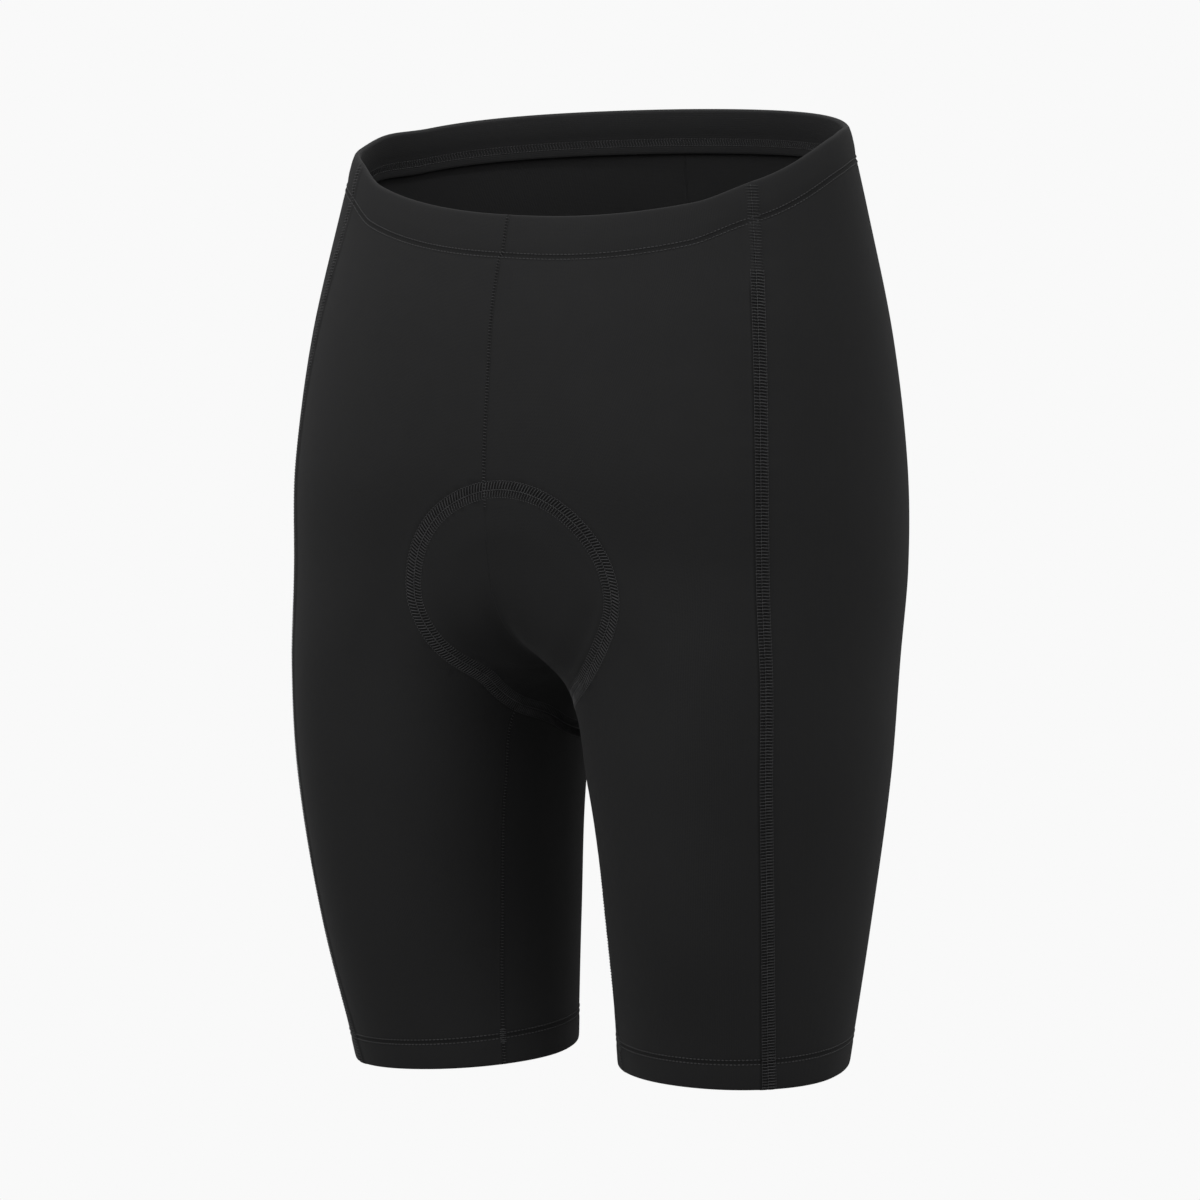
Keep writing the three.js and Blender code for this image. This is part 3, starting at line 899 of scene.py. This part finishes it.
def make_pad():
    """The pad is thickest along its middle, with two soft channels moulded along it."""
    rows, columns = PAD_GRID
    turn = np.linspace(PAD_TRIM, 1 - PAD_TRIM, rows)
    along = PAD["length"] * blend(turn, (1 - np.cos(np.pi * turn)) / 2, 0.6)
    half = pad_half_width(along)
    place = np.sin(np.linspace(-0.5, 0.5, columns) * np.pi)
    distance = pad_sway(along)[:, None] + place[None] * half[:, None]
    station = np.broadcast_to(along[:, None], distance.shape)
    points, normal = seated(walk_across(station.ravel(), distance.ravel()).reshape(rows, columns, 3))
    ends = np.minimum(along, PAD["length"] - along)[:, None]
    from_edge = np.minimum((1 - np.abs(place))[None] * half[:, None], ends)
    crown = blend(PAD["edge"], PAD["middle"], ramp(from_edge, 0, 24))
    channel = 1.5 * hill(np.abs(distance - pad_sway(along)[:, None]), 11, 3) * ramp(from_edge, 6, 18)
    rounded = np.minimum(from_edge / 1.2, 1) ** 0.5
    valley = crease(points)
    outer_in = KNIT + PAD_DEPTH - np.minimum(ring_relief(-from_edge), 1.0) + (1 - rounded) * 0.8 + valley
    inner_in = KNIT + PAD_DEPTH + (crown - channel) * np.maximum(rounded, 0.45) + valley
    outer = points - normal * outer_in[..., None]
    inner = points - normal * inner_in[..., None]
    both = np.concatenate([outer.reshape(-1, 3), inner.reshape(-1, 3)])
    faces = facing_out(both, slab_faces(rows, columns))
    uv = np.stack([distance, station], -1).reshape(-1, 2)
    made = mesh_object("seat_pad", both, faces, PAD_LOOK, np.concatenate([uv, uv]))
    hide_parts("crotch_pad")
    return made


def make_sewing(name, parts):
    """Joins the threads of one seam into one piece."""
    points, faces, first = [], [], 0
    for made, walls, caps in parts:
        points.append(made)
        faces += [*(walls + first), *(caps + first)]
        first += len(made)
    made = mesh_object(name, np.concatenate(points), faces, THREAD_LOOK)
    return made


def flatlock(seam, raised, flat, lean, start=0, end=None):
    """A flatlock: a raised ladder on one side of the seam's line and a flatter one on the other.

    The widths are under 0 to the seam's left.
    """
    parts = [
        rungs(seam, 0, raised, LADDER_PITCH, THREAD, lean=lean, start=start, end=end),
        rungs(seam, 0, flat, LADDER_PITCH, FLAT_THREAD, lift=0.1, lean=-lean / 2, start=start, end=end),
    ]
    for offset, radius in ((raised, FINE_THREAD), (0, THREAD), (flat, FINE_THREAD)):
        parts.append(dashes(seam, offset, LADDER_PITCH, radius, lift=0.15, start=start, end=end))
    return parts


def narrow_seam(seam, start=0, end=None):
    half = NARROW_LADDER
    return [rungs(seam, -half, half, LADDER_PITCH, FINE_THREAD, lift=0.06, start=start, end=end)]


def coverstitch(seam):
    rows = (-TWIN_NEEDLES / 2, TWIN_NEEDLES / 2)
    return [dashes(seam, offset, COVER_PITCH, COVER_THREAD, share=0.74) for offset in rows]


def loopers(seam):
    """The inside of a coverstitch: a flat net of looper threads."""
    parts = [rungs(seam, -LOOPER_HALF, LOOPER_HALF, LOOPER_PITCH, FINE_THREAD, lift=0.08, lean=0.35)]
    for offset in (-LOOPER_HALF, LOOPER_HALF):
        parts.append(dashes(seam, offset, LOOPER_PITCH, FINE_THREAD))
    return parts


def ring_band_relief(points, offset):
    return -0.3 * hill(offset, 0, 3.4) - crease(points)


def make_seams(front_base, back_base):
    """The sewing on the four long seams, each worked out from the panels' own edges."""
    crotch_index = len(TOP_DROPS) + TRUNK_ROWS - 1
    for hand, side in (("left", 1), ("right", -1)):
        seam = Seam(front_base[hand][:, 0], relief=seam_relief(SIDE_RIDGE))
        raised, flat = side * SIDE_RAISED, -side * SIDE_FLAT
        parts = flatlock(seam, raised, flat, lean=0.12, start=SIDE_START, end=seam.length - SEAM_TRIM)
        top = {"start": SEAM_START, "end": SIDE_START}
        parts.append(rungs(seam, flat, raised, LADDER_PITCH, FINE_THREAD, lift=0, **top))
        parts.append(dashes(seam, 0, LADDER_PITCH, FINE_THREAD, **top))
        make_sewing(f"side_seam_{hand}", parts)
        inseam = Seam(front_base[hand][crotch_index:, -1], relief=seam_relief(NARROW_RIDGE))
        leaves_ring = inseam.travelled[np.argmax(outline.distance(inseam.line) > RING_CROSSING)]
        parts = narrow_seam(inseam, start=leaves_ring, end=inseam.length - SEAM_TRIM)
        tack_end = inseam.length - HEM_HEIGHT + TACK / 2
        tack = {"start": tack_end - TACK, "end": tack_end}
        parts.append(rungs(inseam, -TACK_HALF, TACK_HALF, COVER_PITCH / 2, THREAD, **tack))
        make_sewing(f"inseam_{hand}", parts)
    centre_front = Seam(front_base["left"][:crotch_index + 1, -1], relief=seam_relief(NARROW_RIDGE))
    inside = np.argmax(outline.distance(centre_front.line) < -CENTRE_IN_RING)
    make_sewing("centre_front_seam", narrow_seam(centre_front, SEAM_START, centre_front.travelled[inside]))
    centre_back = Seam(back_base["left"][:crotch_index + 1, -1], relief=seam_relief(NARROW_RIDGE))
    inside = np.argmax(outline.distance(centre_back.line) < -RING_CROSSING)
    make_sewing("centre_back_seam", narrow_seam(centre_back, SEAM_START, centre_back.travelled[inside]))


def make_all_sewing(front_base, back_base):
    make_seams(front_base, back_base)
    ring = Seam(outline.line, closed=True, relief=ring_band_relief)
    make_sewing("pad_ring", flatlock(ring, RING_RAISED, -RING_FLAT, lean=0.55))

    def held_down(points, offset):
        return band_relief(rim_height(points) - points[..., 2])

    line = waist_loop(lambda p: rim_height(p) - BAND_STITCHES)
    make_sewing("waist_stitching", coverstitch(Seam(line, closed=True, relief=held_down)))
    inside = Seam(line, closed=True, depth=KNIT + CASING_GAP + CASING - SUNK_LOOPERS)
    make_sewing("waist_loopers", loopers(inside))
    for hand, side in (("left", 1), ("right", -1)):
        line = leg_loop(lambda p: hem_height(p) + HEM_HEIGHT, side)
        outside = Seam(line, closed=True, relief=lambda points, offset: HEM_DRAWN_IN)
        make_sewing(f"hem_stitching_{hand}", coverstitch(outside))
        inner_line = leg_loop(lambda p: hem_height(p) + HEM_HEIGHT - LOOPERS_LOWER, side)
        within = Seam(inner_line, closed=True, depth=TURNED_HEM - 0.1)
        make_sewing(f"hem_loopers_{hand}", loopers(within))


# The stage, the camera and the lights

CAMERA = {"azimuth": 28.2, "distance": 3100, "height": -58, "across": 2, "aim": -216, "focal": 6510}
IMAGE = 1200
SENSOR = 36
BACKDROP = 0.947
EVEN_LIGHT = 0.1
SOFT_BOXES = {
    "above": ((0.15, 0, 0.99), 0.88),
    "front": ((0.36, -0.93, 0), 0.36),
    "left": ((-0.88, -0.47, 0), 0.09),
}
LIT = (0, 0, -0.15)
LIGHTS = {"key": ((-1.2, -2.3, 1.9), 1.6, 16)}
SNOOT = {"place": (0.9, -0.5, 1.5), "aim": (-0.07, 0.06, 0), "angle": 6.5, "size": 0.1, "power": 60}


def make_camera():
    turn = math.radians(CAMERA["azimuth"])
    data = bpy.data.cameras.new("camera")
    data.sensor_width = SENSOR
    data.lens = CAMERA["focal"] * SENSOR / IMAGE
    data.clip_end = 100
    camera = bpy.data.objects.new("camera", data)
    bpy.context.scene.collection.objects.link(camera)
    away = CAMERA["distance"]
    place = Vector((away * math.sin(turn), -away * math.cos(turn), CAMERA["height"]))
    target = Vector((math.cos(turn), math.sin(turn), 0)) * CAMERA["across"] + Vector((0, 0, CAMERA["aim"]))
    camera.location = place * MM
    camera.rotation_euler = ((target - place) * MM).to_track_quat("-Z", "Y").to_euler()
    bpy.context.scene.camera = camera


def area_light(name, place, target, size, power):
    data = bpy.data.lights.new(name, "AREA")
    data.size = size
    data.energy = power
    light = bpy.data.objects.new(name, data)
    bpy.context.scene.collection.objects.link(light)
    light.location = place
    light.rotation_euler = (Vector(target) - Vector(place)).to_track_quat("-Z", "Y").to_euler()


def snoot():
    """A narrow beam into the waist, from above and the right, which lights the inside of the back."""
    data = bpy.data.lights.new("snoot", "SPOT")
    data.spot_size = math.radians(SNOOT["angle"])
    data.spot_blend = 1
    data.shadow_soft_size = SNOOT["size"]
    data.energy = SNOOT["power"]
    light = bpy.data.objects.new("snoot", data)
    bpy.context.scene.collection.objects.link(light)
    light.location = SNOOT["place"]
    light.rotation_euler = (Vector(SNOOT["aim"]) - Vector(SNOOT["place"])).to_track_quat("-Z", "Y").to_euler()


def plain_glow(name, value):
    material = bpy.data.materials.new(name)
    material.use_nodes = True
    tree = material.node_tree
    tree.nodes.clear()
    glow = node(tree, "ShaderNodeEmission", Color=(value, value, value, 1), Strength=1)
    out = node(tree, "ShaderNodeOutputMaterial")
    tree.links.new(glow.outputs[0], out.inputs["Surface"])
    return material


def stage_object(name, mesh, look):
    mesh.materials.append(look)
    made = bpy.data.objects.new(name, mesh)
    bpy.context.scene.collection.objects.link(made)
    made.visible_diffuse = False
    made.visible_glossy = False
    made.visible_shadow = False
    return made


def make_stage():
    """A pale floor under a pale, even studio backdrop. Neither casts its light on the shorts."""
    look = plain_glow("pale_studio", BACKDROP)
    floor = bpy.data.meshes.new("floor")
    half, level_of_floor = 6, -1.1
    sides = ((-half, -half), (half, -half), (half, half), (-half, half))
    corners = [(x, y, level_of_floor) for x, y in sides]
    floor.from_pydata(corners, [], [(0, 1, 2, 3)])
    stage_object("floor", floor, look)
    backdrop = bpy.data.meshes.new("backdrop")
    rings, turns, radius = 13, 24, 12
    points, faces = [], []
    for i in range(rings):
        down = math.pi * i / (rings - 1)
        for j in range(turns):
            round_it = 2 * math.pi * j / turns
            across = radius * math.sin(down)
            points.append((across * math.cos(round_it), across * math.sin(round_it), radius * math.cos(down)))
    for i in range(rings - 1):
        for j in range(turns):
            here, after = i * turns + j, i * turns + (j + 1) % turns
            faces.append((here, here + turns, after + turns, after))
    backdrop.from_pydata(points, [], faces)
    stage_object("backdrop", backdrop, look)


def make_lights():
    """Large soft boxes all round, as lobes of the world's light."""
    world = bpy.data.worlds.new("studio")
    world.use_nodes = True
    tree = world.node_tree
    direction = node(tree, "ShaderNodeTexCoord").outputs["Generated"]
    total = math_node(tree, "ADD", EVEN_LIGHT, 0)
    for aim, strength in SOFT_BOXES.values():
        facing = node(tree, "ShaderNodeVectorMath", operation="DOT_PRODUCT")
        tree.links.new(direction, facing.inputs[0])
        facing.inputs[1].default_value = aim
        lobe = math_node(tree, "MAXIMUM", facing.outputs["Value"], 0)
        total = math_node(tree, "ADD", total, math_node(tree, "MULTIPLY", lobe, strength))
    background = tree.nodes["Background"]
    background.inputs["Color"].default_value = (1, 1, 1, 1)
    tree.links.new(total, background.inputs["Strength"])
    bpy.context.scene.world = world
    for name, (place, size, power) in LIGHTS.items():
        area_light(name, place, LIT, size, power)
    snoot()
    bpy.context.scene.view_settings.view_transform = "Standard"


front_base, back_base, sheets = {}, {}, {}
for hand, side in (("left", 1), ("right", -1)):
    sheets[f"front_{hand}"], front_base[hand] = make_panel("front", hand, side)
    sheets[f"back_{hand}"], back_base[hand] = make_panel("back", hand, side)
band = make_waistband()
pad = make_pad()
make_all_sewing(front_base, back_base)
make_stage()
make_camera()
make_lights()
